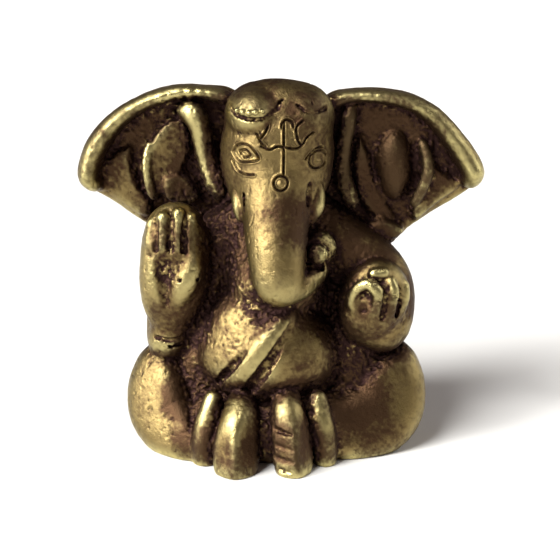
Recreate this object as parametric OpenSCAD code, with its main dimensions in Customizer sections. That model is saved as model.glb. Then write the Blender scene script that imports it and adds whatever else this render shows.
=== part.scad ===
// Seated Ganesha, a small idol cast solid in brass by the lost-wax way.
// Every part below is one section of the wax; the sections are fused and cast as one.
// The face looks along -Y, the filed underside rests on z = 0, and the idol's own right is on -X.

/* [Overall] */
// height from the underside to the top of the crown
idol_height = 50.4; // [42:0.1:61]
// distance across the tips of the two ears
ear_span = 54.4; // [45:0.1:66]
// distance across the two folded knees
knee_span = 40.8; // [34:0.1:49]
// how far the toes stand in front of the body's middle
toe_reach = 17.4; // [14.5:0.1:21]
// how far the back stands behind the body's middle
back_reach = 10; // [8.3:0.1:12]

/* [Body] */
// width of the pot belly
belly_width = 20.4; // [17:0.1:24.5]
// how far the belly stands in front of the body's middle
belly_reach = 12.4; // [10.3:0.1:14.9]
// width across the shoulders
shoulder_width = 25; // [20.8:0.1:30]
// width of the sacred thread across the belly
thread_width = 2.6; // [2.1:0.1:3.2]

/* [Head] */
// width of the face
head_width = 13.4; // [11.1:0.1:16.1]
// height of the head from the neck to the crown
head_height = 17; // [14.2:0.1:20.4]
// radius of the two domes at the temples
dome_radius = 4; // [3.3:0.1:4.8]
// depth of the mark and the eyes cut in the brow
cut_depth = 0.5; // [0.4:0.1:0.6]

/* [Trunk] */
// width of the trunk where it leaves the face
trunk_root = 9; // [7.5:0.1:10.8]
// width of the trunk at its low bend
trunk_low = 5.8; // [4.8:0.1:7]
// how far the trunk hangs below the middle of the face
trunk_drop = 14.6; // [12.2:0.1:17.5]
// width of the curled tip
tip_width = 3; // [2.5:0.1:3.6]
// width of a tusk stub
tusk_width = 1.9; // [1.6:0.1:2.3]

/* [Ears] */
// thickness of the ear's sheet
ear_sheet = 2.2; // [1.8:0.1:2.6]
// width of the roll along the ear's edge
ear_rim = 1.9; // [1.6:0.1:2.3]
// how far the ear's outer point stands out of its round
ear_point = 4.6; // [3.8:0.1:5.5]

/* [Arms and hands] */
// width of the upper arm
arm_width = 6.2; // [5.2:0.1:7.4]
// width across the four raised fingers
palm_width = 9; // [7.5:0.1:10.8]
// height of the raised hand from the wrist to the fingertips
palm_height = 14; // [11.7:0.1:16.8]
// width of the closed hand
fist_width = 7.8; // [6.5:0.1:9.3]

/* [Legs and feet] */
// height of the folded knees
knee_height = 13.2; // [11:0.1:15.8]
// width of a foot
foot_width = 5.2; // [4.4:0.1:6.2]
// height of the feet
foot_height = 9.2; // [7.7:0.1:11]
// width of the thin fold beside each foot
fold_width = 1.8; // [1.5:0.1:2.1]

/* [Hidden] */
brass = "#a08a48";
floor_size = 200;
neck_z = idol_height - head_height;
face_z = neck_z + 0.45 * head_height;
shoulder_z = neck_z - 5;
// the belly rests on the feet, and its top reaches up to the trunk's bend
belly_sink = 3.4;
belly_z = foot_height + 0.42 * belly_width - belly_sink;
chest_z = face_z - trunk_drop - trunk_low / 2 - 2.25;
belly_x = -1.5;
brow_y = -0.66 * head_width;
foot_gap = -1.3;
ear_mid_x = 0.22 * ear_span;
ear_round = ear_span / 2 - ear_mid_x - ear_point - ear_rim / 2;
ear_back_y = 1.4;
hand_x = -(shoulder_width / 2 + 1.8);
hand_z = shoulder_z - 8.6;
fist_x = shoulder_width / 2 - 0.1;
fist_z = shoulder_z - 8.4;
knee_x = knee_span / 2;
// the right elbow rests on the knee
elbow_x = 5.1 - knee_x;

// a section keeps its whole shape, and the sections after it are pressed up against it
NODES = [
    "sacred_thread", "right_temple_dome", "left_temple_dome", "right_tusk", "left_tusk",
    "right_thumb", "right_fingers", "left_fingers", "trunk_tip", "right_fold", "left_fold",
    "right_foot", "left_foot", "trunk", "belly", "right_palm", "left_hand", "right_arm",
    "left_arm", "right_leg", "left_leg", "right_ear", "left_ear", "head", "torso"
];

function mix(a, b, t) = a + (b - a) * t;
function swell(t) = sin(180 * t);

module ball(at, r, fn = 16) translate(at) sphere(r = r, $fn = fn);

// a run of wax pressed between neighbouring stations, each station a list of [place, radius]
module run(stations, fn = 16) {
    for (i = [0 : len(stations) - 2])
        hull() {
            for (s = stations[i]) ball(s[0], s[1], fn);
            for (s = stations[i + 1]) ball(s[0], s[1], fn);
        }
}

// a coil of wax along a list of [place, radius]
module coil(line, fn = 12) run([for (s = line) [s]], fn);

// everything the filed underside takes away
module below_floor() translate([-floor_size / 2, -floor_size / 2, -floor_size / 2])
    cube([floor_size, floor_size, floor_size / 2]);

// ---- torso, belly and thread
function half_width_at(z) = lookup(z, [
    [0, 0.62 * knee_x], [0.3 * shoulder_z, 0.6 * knee_x], [0.62 * shoulder_z, 0.74 * shoulder_width / 2],
    [0.86 * shoulder_z, 0.88 * shoulder_width / 2], [shoulder_z, 0.84 * shoulder_width / 2],
    [neck_z, 0.42 * head_width]]);
function half_depth_at(z) = lookup(z, [
    [0, 0.86 * back_reach], [0.3 * shoulder_z, 0.84 * back_reach], [0.86 * shoulder_z, 0.62 * back_reach],
    [neck_z, 0.44 * back_reach]]);
function back_at(z) = lookup(z, [
    [0, 0.96 * back_reach], [0.3 * shoulder_z, back_reach], [shoulder_z, 0.8 * back_reach],
    [neck_z, 0.6 * back_reach]]);
function spine_station(z) = let (deep = half_depth_at(z), side = half_width_at(z) - deep)
    [for (x = [-side, side]) [[x, back_at(z) - deep, z], deep]];

module torso_wax() {
    steps = 7;
    run([for (i = [0 : steps]) spine_station(mix(1, neck_z, i / steps))], 18);
    // the lap, under the belly and between the shins
    hull() for (side = [-1, 1]) {
        ball([side * 0.36 * knee_x + foot_gap / 2, -0.46 * toe_reach, 0.22 * knee_height], 0.27 * knee_height);
        ball([side * 0.4 * knee_x, 0, 0.3 * knee_height], 0.4 * knee_height);
    }
}

module belly_wax() hull() {
    translate([belly_x, -belly_reach + 0.48 * belly_width, belly_z])
        scale([1, 0.96, 0.84]) sphere(d = belly_width, $fn = 30);
    ball([belly_x, -0.12 * belly_width, chest_z], 0.3 * belly_width, 20);
}

// the thread lies on the front of the belly, from the left shoulder down to the right hip
function on_belly(t) = let (
        x = mix(0.1, -0.28, t) * belly_width, z = mix(0.34, -0.26, t) * belly_width,
        deep = sqrt(max(0, 1 - pow(2 * x / belly_width, 2) - pow(2 * z / (0.84 * belly_width), 2))))
    [belly_x + x, -belly_reach + 0.48 * belly_width * (1 - deep), belly_z + z];

module thread_wax() coil([for (i = [0 : 8])
    [on_belly(i / 8) + [0, 0.2 * thread_width, 0], thread_width * mix(0.6, 0.44, i / 8)]]);

// ---- head
module head_wax() difference() {
    hull() {
        for (side = [-1, 1]) {
            ball([side * 0.16 * head_width, brow_y + 0.36 * head_width, face_z + 0.16 * head_height],
                0.34 * head_width, 20);
            ball([side * 0.16 * head_width, brow_y + 0.33 * head_width, face_z - 0.04 * head_height],
                0.34 * head_width, 20);
            ball([side * 0.1 * head_width, 0.12 * head_width, face_z + 0.08 * head_height],
                0.42 * head_width, 20);
        }
        ball([0, brow_y + 0.3 * head_width, face_z - 0.3 * head_height], 0.34 * head_width, 20);
        ball([0, 0, neck_z], 0.34 * head_width, 20);
    }
    brow_cuts();
}

// how far back the face lies at a distance from its middle
function face_front(x) = let (cheek = max(0, abs(x) - 0.16 * head_width))
    brow_y + 0.33 * head_width - sqrt(pow(0.34 * head_width, 2) - pow(cheek, 2));

// the mark on the brow, cut with a round tool, and the dishes of the eyes
module brow_cuts() {
    coil([for (i = [0 : 1]) [[0.3, face_front(0) + 0.2, face_z + mix(0.3, -0.12, i) * head_height], cut_depth]], 8);
    coil([for (i = [0 : 6]) let (x = mix(-1, 1, i / 6) * 0.34 * head_width)
        [[x, face_front(x) + 0.2, face_z + 0.06 * head_height + 0.08 * x * x], cut_depth]], 8);
    for (side = [-1, 1]) difference() {
        eye_ball(side, 0.4, 2.6 * cut_depth);
        eye_ball(side, -0.5, 2 * cut_depth);
    }
}
module eye_ball(side, out, r) let (x = side * 0.36 * head_width)
    ball([x + side * out * 0.6, face_front(x) - out, face_z - 0.01 * head_height], r, 12);

module dome_wax(side) hull() {
    ball([side * 0.21 * head_width, brow_y + 0.33 * head_width, idol_height - 1.1 * dome_radius],
        dome_radius, 20);
    ball([side * 0.2 * head_width, 0.06 * head_width, idol_height - dome_radius], dome_radius, 20);
}

// ---- trunk and tusks
function trunk_at(t) = [-0.7 * swell(t), brow_y + 4.2 - 6.4 * pow(t, 1.2), face_z - trunk_drop * t];
function trunk_radius(t) = mix(trunk_root, trunk_low, t) / 2;

// the trunk, with the wax behind it that joins it to the chest
module trunk_wax() run([for (i = [2 : 2 : 10]) let (t = i / 10)
    [[trunk_at(t), trunk_radius(t)], [trunk_at(t) + [0, 3 + 2 * t, 1 - t], trunk_radius(t) * 0.8]]], 16);

function curl_at(t) = let (a = mix(-120, 30, t), bend = 0.46 * trunk_low)
    [trunk_at(1)[0] + 2.3 + bend * cos(a), trunk_at(1)[1], trunk_at(1)[2] + 0.9 * bend + bend * sin(a)];
module curl_wax() coil([for (i = [0 : 7]) [curl_at(i / 7), mix(trunk_low * 0.44, tip_width / 2, i / 7)]], 14);

module tusk_wax(side)
    coil([for (i = [0 : 3]) [[side * mix(0.24, 0.4, i / 3) * head_width,
        brow_y + mix(3, 1, i / 3), face_z - (0.3 + 0.05 * i) * head_height], tusk_width / 2]]);

// ---- legs and feet
module leg_wax(side) {
    low = 0.3 * knee_height;
    run([
        [[[side * 0.42 * knee_x, 1, 0.46 * knee_height], 0.42 * knee_height]],
        [[[side * (knee_x - 4.9), -1.8, knee_height - 4.9], 4.9], [[side * (knee_x - 5.4), -2.6, low], 1.2 * low]],
        [[[side * (knee_x - 6), -5.4, knee_height - 6.2], 4.8], [[side * (knee_x - 6.6), -5.8, low], 1.15 * low]],
        [[[side * 0.5 * knee_x, -0.46 * toe_reach, 0.46 * knee_height], 4],
            [[side * 0.5 * knee_x, -0.48 * toe_reach, low], 0.95 * low]],
        [[[side * 0.38 * knee_x + foot_gap / 2, -0.58 * toe_reach, 0.5 * knee_height], 2.6],
            [[side * 0.38 * knee_x + foot_gap / 2, -0.6 * toe_reach, 0.2 * knee_height], 2.9]]
    ], 16);
}

function foot_x(side) = foot_gap + side * (foot_width / 2 + (side < 0 ? 1.3 : 0.5));

module foot_wax(side) {
    r = foot_width / 2;
    x = foot_x(side);
    run([
        [[[x - 0.1 * side, -toe_reach + 2.5 * r, foot_height - 0.9 * r], 0.9 * r],
            [[x, -toe_reach + 1.15 * r, 0.42 * foot_height], r], [[x, -toe_reach + r, 0.4 * r], r]],
        [[[x, -0.35 * toe_reach, foot_height - r], r], [[x, -0.35 * toe_reach, 0.4 * r], r]]
    ], 16);
    // the toes lie one over another along the inner edge
    for (i = [0 : 3])
        ball([x - side * 0.42 * r, -toe_reach + (0.46 + 0.09 * i) * r, (0.12 + 0.15 * i) * foot_height],
            0.09 * foot_height, 12);
}

module fold_wax(side) {
    x = foot_x(side) + side * (foot_width / 2 + (side < 0 ? 0.5 : 2.2));
    coil([for (i = [0 : 8]) [[x - side * 0.5 * i / 8, -0.71 * toe_reach - 0.5 * swell(i / 8),
        mix(0.3, foot_height, i / 8)], fold_width * (0.36 + 0.2 * swell(i / 8))]]);
}

// ---- arms and hands
module right_arm_wax() coil([
    [[-0.36 * shoulder_width, 1.5, shoulder_z], arm_width * 0.56],
    [[-0.5 * shoulder_width, 0.8, shoulder_z - 5], arm_width * 0.48],
    [[hand_x - 0.4, -0.6, mix(knee_height, shoulder_z, 0.3)], arm_width * 0.42],
    [[elbow_x, -2.6, knee_height + 2], arm_width * 0.38],
    [[hand_x - 0.8, -4.4, hand_z - 3.2], arm_width * 0.35]], 16);

module left_arm_wax() coil([
    [[0.36 * shoulder_width, 1.2, shoulder_z - 0.6], arm_width * 0.58],
    [[0.54 * shoulder_width, 0, shoulder_z - 2.6], arm_width * 0.52],
    [[fist_x + 2.2, -1.6, mix(knee_height, shoulder_z, 0.5)], arm_width * 0.48],
    [[fist_x + 1.6, -3.6, knee_height + 2.6], arm_width * 0.46],
    [[fist_x - 0.2, -6, fist_z - 2.8], arm_width * 0.42]], 16);

// the raised right hand, its palm to the front
module palm_wax() {
    half = palm_width / 2;
    run([
        [[[hand_x - 0.9, -4.8, hand_z - 3], arm_width * 0.32]],
        [[[hand_x - 0.45 * half, -5.2, hand_z + 2], 0.52 * half], [[hand_x + 0.35 * half, -5.4, hand_z + 2],
            0.55 * half]],
        [[[hand_x - 0.55 * half, 0.46 * half - 6.4, hand_z + 6], 0.46 * half],
            [[hand_x + 0.55 * half, 0.46 * half - 6.4, hand_z + 6], 0.46 * half]],
        [[[hand_x - 0.4 * half, -4, hand_z + palm_height - 2.4], 0.46 * half],
            [[hand_x + 0.35 * half, -4, hand_z + palm_height - 2], 0.46 * half]]
    ], 14);
}

module thumb_wax() coil([
    [[hand_x + 0.06 * palm_width, -6.4, hand_z - 0.8], 1.4],
    [[hand_x + 0.2 * palm_width, -6.8, hand_z + 2], 1.8],
    [[hand_x + 0.32 * palm_width, -6.6, hand_z + 5.4], 1.5],
    [[hand_x + 0.34 * palm_width, -6.4, hand_z + 7.4], 1.2]], 12);

module right_fingers_wax() {
    r = 0.125 * palm_width;
    for (i = [0 : 3]) let (u = i / 3 - 0.5, x = hand_x + u * (palm_width - 2.4 * r))
        coil([
            [[x, -6.2, hand_z + 7], r],
            [[x, -6.6, hand_z + 9], r],
            [[x, -6.2, hand_z + palm_height - 3 - 2 * u * u], r],
            [[x - u * 0.6, -5.2, hand_z + palm_height - r - 0.9 - 3 * u * u], r]], 10);
    // the knuckles run into one another across the palm
    coil([for (u = [-0.5, 0.5]) [[hand_x + u * (palm_width - 2.4 * r), -6.1, hand_z + 7], r]], 10);
}

module left_hand_wax() {
    half = fist_width / 2;
    run([
        [[[fist_x + 0.5 * half, -5.6, fist_z - 1.8], 0.62 * half], [[fist_x - 0.4 * half, -6.4, fist_z - 1.2],
            0.6 * half]],
        [[[fist_x + 0.4 * half, -5.8, fist_z + 2], 0.62 * half], [[fist_x - 0.4 * half, -6.6, fist_z + 1.6],
            0.6 * half]],
        [[[fist_x + 0.4 * half, -5.2, fist_z + 4], 0.56 * half]]
    ], 14);
}

// three fingers curl over whatever the hand once held
module left_fingers_wax() {
    for (i = [0 : 2]) let (x = fist_x + (i - 1.1) * 0.27 * fist_width, r = 0.14 * fist_width)
        coil([
            [[x + 0.6, -6.4, fist_z + 5 + 0.4 * i], r],
            [[x + 0.2, -8, fist_z + 4 + 0.3 * i], 1.1 * r],
            [[x, -8.6, fist_z + 1.8], 1.1 * r],
            [[x - 0.3, -7.8, fist_z - 0.8], r]], 10);
    coil([for (u = [-1.1, 0.9]) [[fist_x + u * 0.27 * fist_width + 0.2, -7.4, fist_z + 2.4],
        0.15 * fist_width]], 10);
}

// ---- ears
// the edge runs from over the temple, round the outer point, to the lobe at the shoulder
function ear_radius(a) = ear_round + ear_point * exp(-pow((a + 8) / (a > -8 ? 38 : 20), 2));
function ear_edge(side, t, lobe) = let (a = mix(118, -62, t), r = ear_radius(a) + lobe * pow(max(0, 2.4 * t - 1.4), 2))
    [side * (ear_mid_x + r * cos(a)), ear_back_y - 0.8, face_z - 3 + r * sin(a)];
function ear_root(side, t) = [side * 0.28 * head_width, ear_back_y + 1, face_z + mix(5.5, -9, t)];
function ear_inner(side, t, lobe) = ear_edge(side, t, lobe) * 0.55 + ear_root(side, t) * 0.45 + [0, 0.5, 0];

// a vein bows from the lobe up to the edge
function vein_at(side, t, vein, lobe) = let (
        low = ear_inner(side, 0.94, lobe), high = mix(ear_inner(side, vein, lobe), ear_edge(side, vein, lobe), 0.6))
    mix(low, high, t) + [side * (1.1 - 3 * vein) * 2 * swell(t), -0.55 * ear_sheet, 0];

module ear_wax(side, lobe) {
    steps = 10;
    for (i = [0 : steps - 1]) let (a = i / steps, b = (i + 1) / steps) {
        hull() for (t = [a, b]) {
            ball(ear_root(side, t), ear_sheet / 2, 8);
            ball(ear_inner(side, t, lobe), ear_sheet / 2, 8);
        }
        hull() for (t = [a, b]) {
            ball(ear_inner(side, t, lobe), ear_sheet / 2, 8);
            ball(ear_edge(side, t, lobe) + [0, 0.6, 0], ear_sheet / 2, 8);
        }
    }
    // the rolled rim
    coil([for (i = [0 : 10]) [ear_edge(side, i / 10 * 0.76, lobe) - [0, 0.4, 0], ear_rim / 2]], 10);
    for (vein = [0.14, 0.34, 0.56])
        coil([for (i = [0 : 4]) [vein_at(side, i / 4, vein, lobe), 0.4 + 1.1 * swell(0.15 + i * 0.16)]], 10);
}

// ---- the wax of a section by its name
module wax(name) {
    if (name == "sacred_thread") thread_wax();
    if (name == "right_temple_dome") dome_wax(-1);
    if (name == "left_temple_dome") dome_wax(1);
    if (name == "right_tusk") tusk_wax(-1);
    if (name == "left_tusk") tusk_wax(1);
    if (name == "right_thumb") thumb_wax();
    if (name == "right_fingers") right_fingers_wax();
    if (name == "left_fingers") left_fingers_wax();
    if (name == "trunk_tip") curl_wax();
    if (name == "right_fold") fold_wax(-1);
    if (name == "left_fold") fold_wax(1);
    if (name == "right_foot") foot_wax(-1);
    if (name == "left_foot") foot_wax(1);
    if (name == "trunk") trunk_wax();
    if (name == "belly") belly_wax();
    if (name == "right_palm") palm_wax();
    if (name == "left_hand") left_hand_wax();
    if (name == "right_arm") right_arm_wax();
    if (name == "left_arm") left_arm_wax();
    if (name == "right_leg") leg_wax(-1);
    if (name == "left_leg") leg_wax(1);
    if (name == "right_ear") ear_wax(-1, 0);
    if (name == "left_ear") ear_wax(1, 2.4);
    if (name == "head") head_wax();
    if (name == "torso") torso_wax();
}

// a section is its wax less the sections before it, cut level at the underside
module section(place) color(brass) difference() {
    wax(NODES[place]);
    for (i = [0 : 1 : place - 1]) wax(NODES[i]);
    below_floor();
}

module sacred_thread() section(0);
module right_temple_dome() section(1);
module left_temple_dome() section(2);
module right_tusk() section(3);
module left_tusk() section(4);
module right_thumb() section(5);
module right_fingers() section(6);
module left_fingers() section(7);
module trunk_tip() section(8);
module right_fold() section(9);
module left_fold() section(10);
module right_foot() section(11);
module left_foot() section(12);
module trunk() section(13);
module belly() section(14);
module right_palm() section(15);
module left_hand() section(16);
module right_arm() section(17);
module left_arm() section(18);
module right_leg() section(19);
module left_leg() section(20);
module right_ear() section(21);
module left_ear() section(22);
module head() section(23);
module torso() section(24);

sacred_thread();
right_temple_dome();
left_temple_dome();
right_tusk();
left_tusk();
right_thumb();
right_fingers();
left_fingers();
trunk_tip();
right_fold();
left_fold();
right_foot();
left_foot();
trunk();
belly();
right_palm();
left_hand();
right_arm();
left_arm();
right_leg();
left_leg();
right_ear();
left_ear();
head();
torso();
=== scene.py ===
import math

import bmesh
import bpy
import numpy as np
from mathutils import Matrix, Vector


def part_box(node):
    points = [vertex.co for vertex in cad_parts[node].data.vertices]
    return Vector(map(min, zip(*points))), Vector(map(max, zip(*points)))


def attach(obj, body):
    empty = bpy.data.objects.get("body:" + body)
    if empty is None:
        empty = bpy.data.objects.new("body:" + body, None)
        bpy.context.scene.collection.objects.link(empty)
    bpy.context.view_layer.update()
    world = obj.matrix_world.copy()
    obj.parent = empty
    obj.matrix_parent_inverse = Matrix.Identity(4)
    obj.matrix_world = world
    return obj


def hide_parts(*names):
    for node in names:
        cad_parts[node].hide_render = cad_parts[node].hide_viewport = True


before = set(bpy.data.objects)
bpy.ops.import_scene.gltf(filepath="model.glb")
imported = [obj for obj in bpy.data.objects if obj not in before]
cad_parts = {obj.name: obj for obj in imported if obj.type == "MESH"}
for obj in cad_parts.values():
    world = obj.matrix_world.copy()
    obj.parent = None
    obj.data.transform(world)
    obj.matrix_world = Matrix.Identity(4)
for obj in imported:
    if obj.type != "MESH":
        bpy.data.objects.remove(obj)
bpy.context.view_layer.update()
mm = 0.001

# The idol is modelled in wax, as the founder does it: each section is a run of balls and coils pressed
# together, and where sections meet they melt into one skin. The wax is a field of distances on a fine
# grid, in millimetres, below zero inside the metal. Each section then comes off the grid as its own mesh.
clay = {
    "step": 0.17,                  # side of a grid cell
    "room": 2.4,                   # clear space kept round the model
    "reach": 1.4,                  # how far round a coil or an egg the field is worked out
    "sheetReach": (2, 4, 2),       # the same round a sheet, along x, y and z
    "cutReach": 0.6,               # the same round a cut
    "empty": 9.0,                  # what an empty spot reads
    "settles": 2,                  # moves that bring the skin onto the true surface
    "settleMost": 0.1,             # the longest of them
    "gentlest": 0.05,              # the least slope, squared, that a move is worked out from
    "flatBelow": 0.15,             # the filed underside stays flat up to this height
}


def millimetres(corner):
    return np.array(corner, float) / mm


boxes = [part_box(node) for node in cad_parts]
wholeLow = np.min([low for low, high in boxes], axis=0)
wholeHigh = np.max([high for low, high in boxes], axis=0)
gridLow = millimetres(wholeLow) - clay["room"]
gridHigh = millimetres(wholeHigh) + clay["room"]
gridLow[2] = -3 * clay["step"]
gridSize = np.ceil((gridHigh - gridLow) / clay["step"]).astype(int) + 1
ticks = [(gridLow[i] + clay["step"] * np.arange(gridSize[i])).astype(np.float32) for i in range(3)]
wax = np.full(gridSize, clay["empty"], np.float32)       # the whole model
nearest = np.full(gridSize, clay["empty"], np.float32)   # distance to the section that owns a spot
owner = np.zeros(gridSize, np.int8)                      # that section's number
inHand = np.full(gridSize, clay["empty"], np.float32)    # the section being made
touched = []                                             # corners of what it has touched
sections = []


# the cells between two corners, and the places of their points
def cellsBetween(low, high):
    cut = []
    for i in range(3):
        first = int(np.clip(math.floor((low[i] - gridLow[i]) / clay["step"]), 0, gridSize[i] - 1))
        last = int(np.clip(math.ceil((high[i] - gridLow[i]) / clay["step"]) + 1, first + 1, gridSize[i]))
        cut.append(slice(first, last))
    x, y, z = (ticks[i][cut[i]] for i in range(3))
    return tuple(cut), (x[:, None, None], y[None, :, None], z[None, None, :])


# all the cells that the section in hand has touched
def cellsTouched():
    return cellsBetween(np.min([low for low, high in touched], axis=0),
                        np.max([high for low, high in touched], axis=0))


# the smaller of two fields, with a fillet where they cross
def melt(a, b, soft):
    gap = np.maximum(soft - np.abs(a - b), 0) / max(soft, 1e-6)
    return np.minimum(a, b) - gap * gap * soft * 0.25


# distance to a straight run between two stations (x, y, z, radius), squeezed along each axis
def boneField(at, a, b, squeeze):
    start = [a[i] * squeeze[i] for i in range(3)]
    along = [b[i] * squeeze[i] - start[i] for i in range(3)]
    length = max(sum(v * v for v in along), 1e-6)
    off = [at[i] * squeeze[i] - start[i] for i in range(3)]
    share = np.clip((off[0] * along[0] + off[1] * along[1] + off[2] * along[2]) / length, 0, 1)
    far = np.sqrt(sum((off[i] - share * along[i]) ** 2 for i in range(3)))
    return far - (a[3] + (b[3] - a[3]) * share)


def boneBox(a, b, squeeze, extra):
    low = [min(a[i] - a[3] / squeeze[i], b[i] - b[3] / squeeze[i]) - extra for i in range(3)]
    high = [max(a[i] + a[3] / squeeze[i], b[i] + b[3] / squeeze[i]) + extra for i in range(3)]
    return low, high


# a smooth line through the stations, so a few of them make a long curve
def bend(line, fine=3):
    if len(line) < 3:
        return list(line)
    ends = [line[0]] + list(line) + [line[-1]]
    out = []
    for p0, p1, p2, p3 in zip(ends, ends[1:], ends[2:], ends[3:]):
        for n in range(fine):
            t = n / fine
            out.append(tuple(0.5 * (2 * b + (c - a) * t + (2 * a - 5 * b + 4 * c - d) * t * t
                                    + (3 * b - a - 3 * c + d) * t ** 3)
                             for a, b, c, d in zip(p0, p1, p2, p3)))
    return out + [tuple(line[-1])]


# how far spots in a plane lie from a run between two points, and the share of the run at the nearest
def farFromRun(x, z, start, end):
    alongX, alongZ = end[0] - start[0], end[1] - start[1]
    length = max(alongX * alongX + alongZ * alongZ, 1e-9)
    share = np.clip(((x - start[0]) * alongX + (z - start[1]) * alongZ) / length, 0, 1)
    return np.hypot(x - start[0] - share * alongX, z - start[1] - share * alongZ)


# the middle of a section's box in the frame; every place on a section is measured from there
def middleOf(node):
    low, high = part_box(node)
    return (millimetres(low) + millimetres(high)) / 2


home = np.zeros(3)       # that middle, for the section in hand
held = {"name": ""}      # and its name


def begin(node):
    held["name"] = node
    home[:] = middleOf(node)


def fromHome(station):
    return (station[0] + home[0], station[1] + home[1], station[2] + home[2]) + tuple(station[3:])


# stations on their way from the section's middle to the grid, with more of them between
def fromHomeLine(line, fine):
    line = bend([fromHome(station) for station in line], fine)
    return line * 2 if len(line) == 1 else line


# adds a coil of wax to the section in hand; one station alone is a ball
def coil(line, soft=0.5, squeeze=(1, 1, 1), fine=3):
    line = fromHomeLine(line, fine)
    for a, b in zip(line, line[1:]):
        low, high = boneBox(a, b, squeeze, clay["reach"] + soft)
        cut, at = cellsBetween(low, high)
        inHand[cut] = melt(inHand[cut], boneField(at, a, b, squeeze), soft)
        touched.append((low, high))


# adds an egg: centre, then half sizes along x, y and z
def egg(spec, soft=0.5):
    centre, half = fromHome(spec[:3]), spec[3:]
    reach = max(half) + clay["reach"] + soft
    low, high = [c - reach for c in centre], [c + reach for c in centre]
    cut, at = cellsBetween(low, high)
    off = [at[i] - centre[i] for i in range(3)]
    share = np.sqrt(sum((off[i] / half[i]) ** 2 for i in range(3)))
    steep = np.sqrt(sum((off[i] / half[i] ** 2) ** 2 for i in range(3)))
    field = share * (share - 1) / np.maximum(steep, 1e-4)
    inHand[cut] = melt(inHand[cut], field.astype(np.float32), soft)
    touched.append((low, high))


# adds a rolled-out sheet with a smooth outline in the front view. front is how far forward its face lies,
# lean how much that changes per millimetre along x and z, and edge the round left on its rim
def sheet(spec, soft=0.3):
    outline = [(x + home[0], z + home[2]) for x, z in spec["outline"]]
    line = bend(outline + [outline[0]], fine=4)
    xs, zs = [p[0] for p in line], [p[1] for p in line]
    front, thick, edge = spec["front"] + home[1], spec["thick"], spec["edge"]
    aside, deep, above = clay["sheetReach"]
    low = [min(xs) - aside, front - deep, min(zs) - above]
    high = [max(xs) + aside, front + thick + deep, max(zs) + above]
    cut, at = cellsBetween(low, high)
    x, z = at[0][:, 0, 0][:, None], at[2][0, 0, :][None, :]
    far = np.full((x.size, z.size), np.inf)
    within = np.zeros((x.size, z.size), bool)
    for (ax, az), (bx, bz) in zip(line, line[1:]):
        far = np.minimum(far, farFromRun(x, z, (ax, az), (bx, bz)))
        if az != bz:
            within ^= ((z > az) != (z > bz)) & (x < ax + (z - az) * (bx - ax) / (bz - az))
    lean = spec.get("lean", (0, 0))
    middle = front + thick / 2 + lean[0] * (x - sum(xs) / len(xs)) + lean[1] * (z - sum(zs) / len(zs))
    flatGap = np.where(within, -far, far)[:, None, :] + edge
    deepGap = np.abs(at[1] - middle[:, None, :]) - thick / 2 + edge
    field = (np.hypot(np.maximum(flatGap, 0), np.maximum(deepGap, 0))
             + np.minimum(np.maximum(flatGap, deepGap), 0) - edge)
    inHand[cut] = melt(inHand[cut], field.astype(np.float32), soft)
    touched.append((low, high))


# flattens the section in hand with a spatula: a place on the flat, then the way the flat faces
def press(spec, soft=0.8):
    spot, away = fromHome(spec[:3]), np.array(spec[3:], float)
    away /= np.linalg.norm(away)
    cut, at = cellsTouched()
    flat = sum(away[i] * (at[i] - spot[i]) for i in range(3))
    inHand[cut] = -melt(-inHand[cut], -flat.astype(np.float32), soft)


# presses the section in hand onto the model. join is how softly it runs into what is there, and shy how
# far it must stand out of that before the skin counts as its own
def lay(join=0.6, shy=0.0):
    name = held["name"]
    if name not in sections:
        sections.append(name)
    cut, at = cellsTouched()
    mine = inHand[cut]
    wins = mine + shy < nearest[cut]
    owner[cut][wins] = sections.index(name) + 1
    nearest[cut] = np.where(wins, mine, nearest[cut])
    wax[cut] = melt(wax[cut], mine, join)
    inHand[cut] = clay["empty"]
    touched.clear()


# cuts a groove or a dent along a line of stations
def carve(line, soft=0.15, squeeze=(1, 1, 1), fine=3):
    line = fromHomeLine(line, fine)
    for a, b in zip(line, line[1:]):
        cut, at = cellsBetween(*boneBox(a, b, squeeze, clay["cutReach"] + soft))
        wax[cut] = -melt(-wax[cut], boneField(at, a, b, squeeze), soft)


# Every place below is in millimetres from the middle of the section's own box, with x to the idol's left,
# y to its back and z up. A coil's stations are x, y, z and radius.

# seat, back, chest and lap, in one mass that everything else is pressed onto
torso = {
    "spine": [(-0.2, 1.7, -12, 8.2), (-0.2, 2.6, -4, 7.4), (0, 3.1, 4, 6.8), (0, 2.5, 11, 5.2),
              (0, 1.7, 17, 4.2)],
    "seat": [(-8.6, 2.3, -12, 7.6), (8.2, 2.3, -12, 7.6)],
    "shoulders": [(-8.6, 2.1, 8.6, 3.9), (-3, 1.9, 11.4, 4.6), (3, 1.9, 11.4, 4.6), (8.6, 1.9, 8.8, 4.2)],
    "chest": [(-1.6, -0.3, 10, 4.2), (-1.8, -3.3, 4.6, 4.6), (1.2, -3.1, 5.5, 4.6)],
    "lap": [(-9.8, -4.5, -14.6, 4.8), (-4, -7.5, -14.6, 4.4), (2, -7.5, -14.4, 4.4),
            (8, -4.7, -14.4, 4.8)],
    "rightSide": [
        (-10.2, -1.3, -9, 4.4), (-10.4, -0.5, -3, 3.6), (-10.2, 0.3, 3, 3.4), (-9.4, 0.9, 8, 3.6),
    ],
    "leftSide": [(9.8, -1.3, -9, 4.4), (9.8, -0.7, -3, 3.8), (10.2, 0.1, 2, 3.4)],
}
begin("torso")
coil(torso["spine"], soft=2.0, squeeze=(0.82, 1, 1))
coil(torso["seat"], soft=2.0)
coil(torso["shoulders"], soft=1.6)
coil(torso["chest"], soft=1.6)
coil(torso["lap"], soft=1.2)
coil(torso["rightSide"], soft=1.5)
coil(torso["leftSide"], soft=1.5)
lay()

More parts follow.
